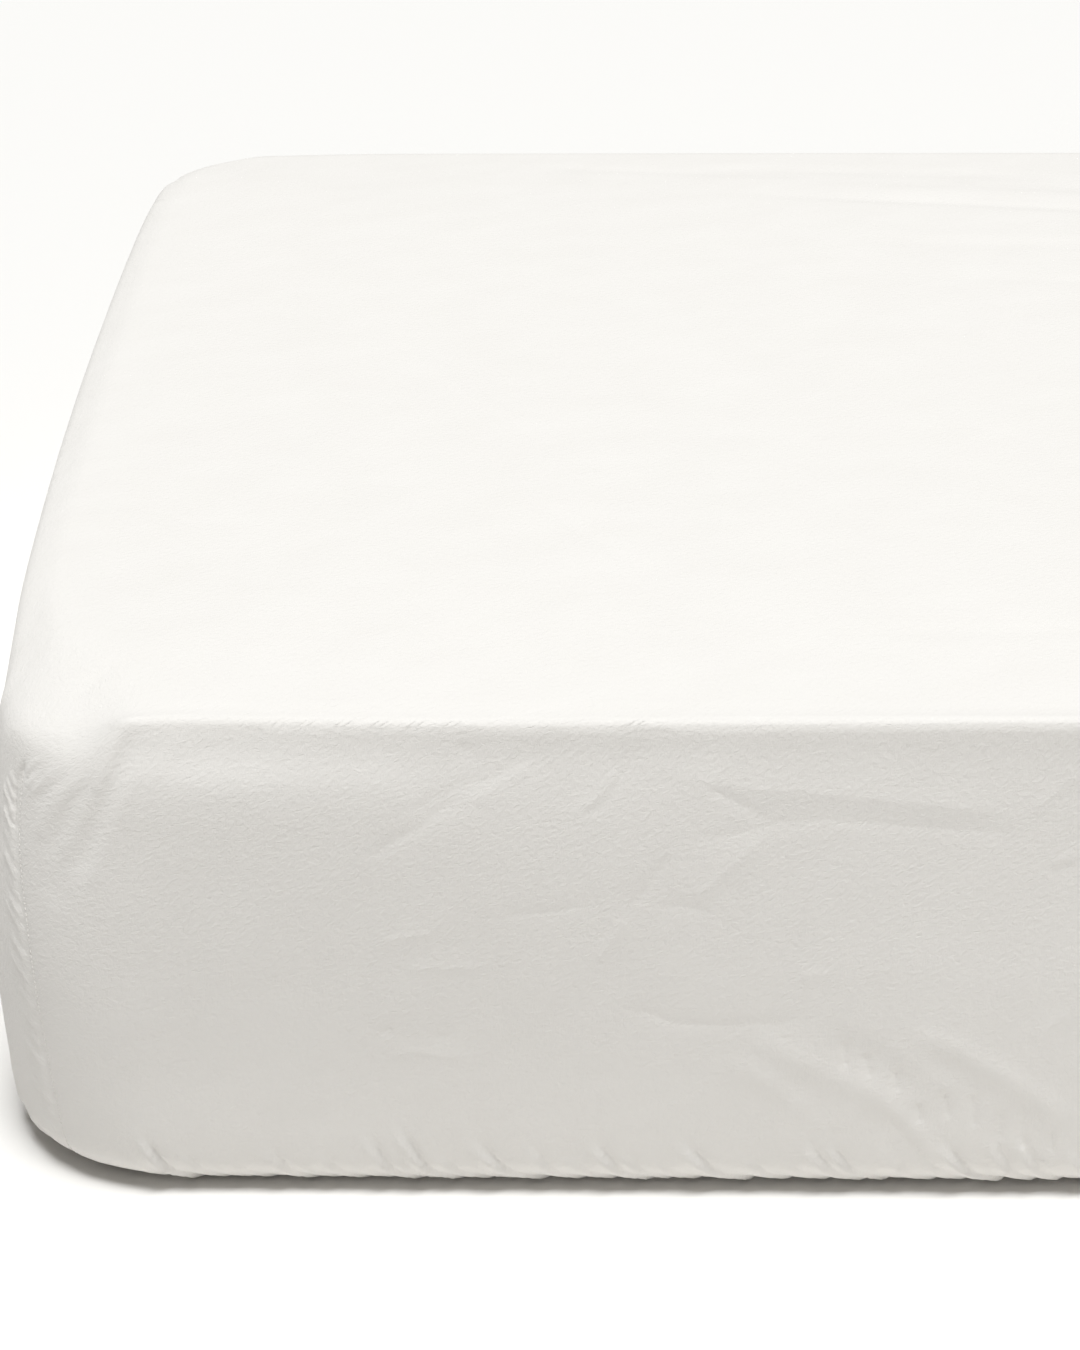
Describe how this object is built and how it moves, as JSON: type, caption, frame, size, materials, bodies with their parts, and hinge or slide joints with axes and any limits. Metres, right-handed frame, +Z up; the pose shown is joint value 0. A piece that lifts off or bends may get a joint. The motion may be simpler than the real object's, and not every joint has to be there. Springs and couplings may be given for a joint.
{
  "type": "fitted sheet on a mattress",
  "caption": "White cotton fitted sheet stretched over a plain single mattress, with seamed corners and a gathered hem turned under the base.",
  "frame": {"origin": "on the ground under the middle of the mattress", "axes": "+X along the mattress's length, -Y towards its front long side, +Z up"},
  "size_m": [1.9368, 1.0231, 0.303],
  "materials": {
    "washed_cotton": "soft washed cotton percale, matt, finely crinkled",
    "mattress_ticking": "plain woven ticking, matt"
  },
  "bodies": {
    "root": {"fitted_sheet": "washed_cotton", "mattress": "mattress_ticking"}
  },
  "joints": []
}
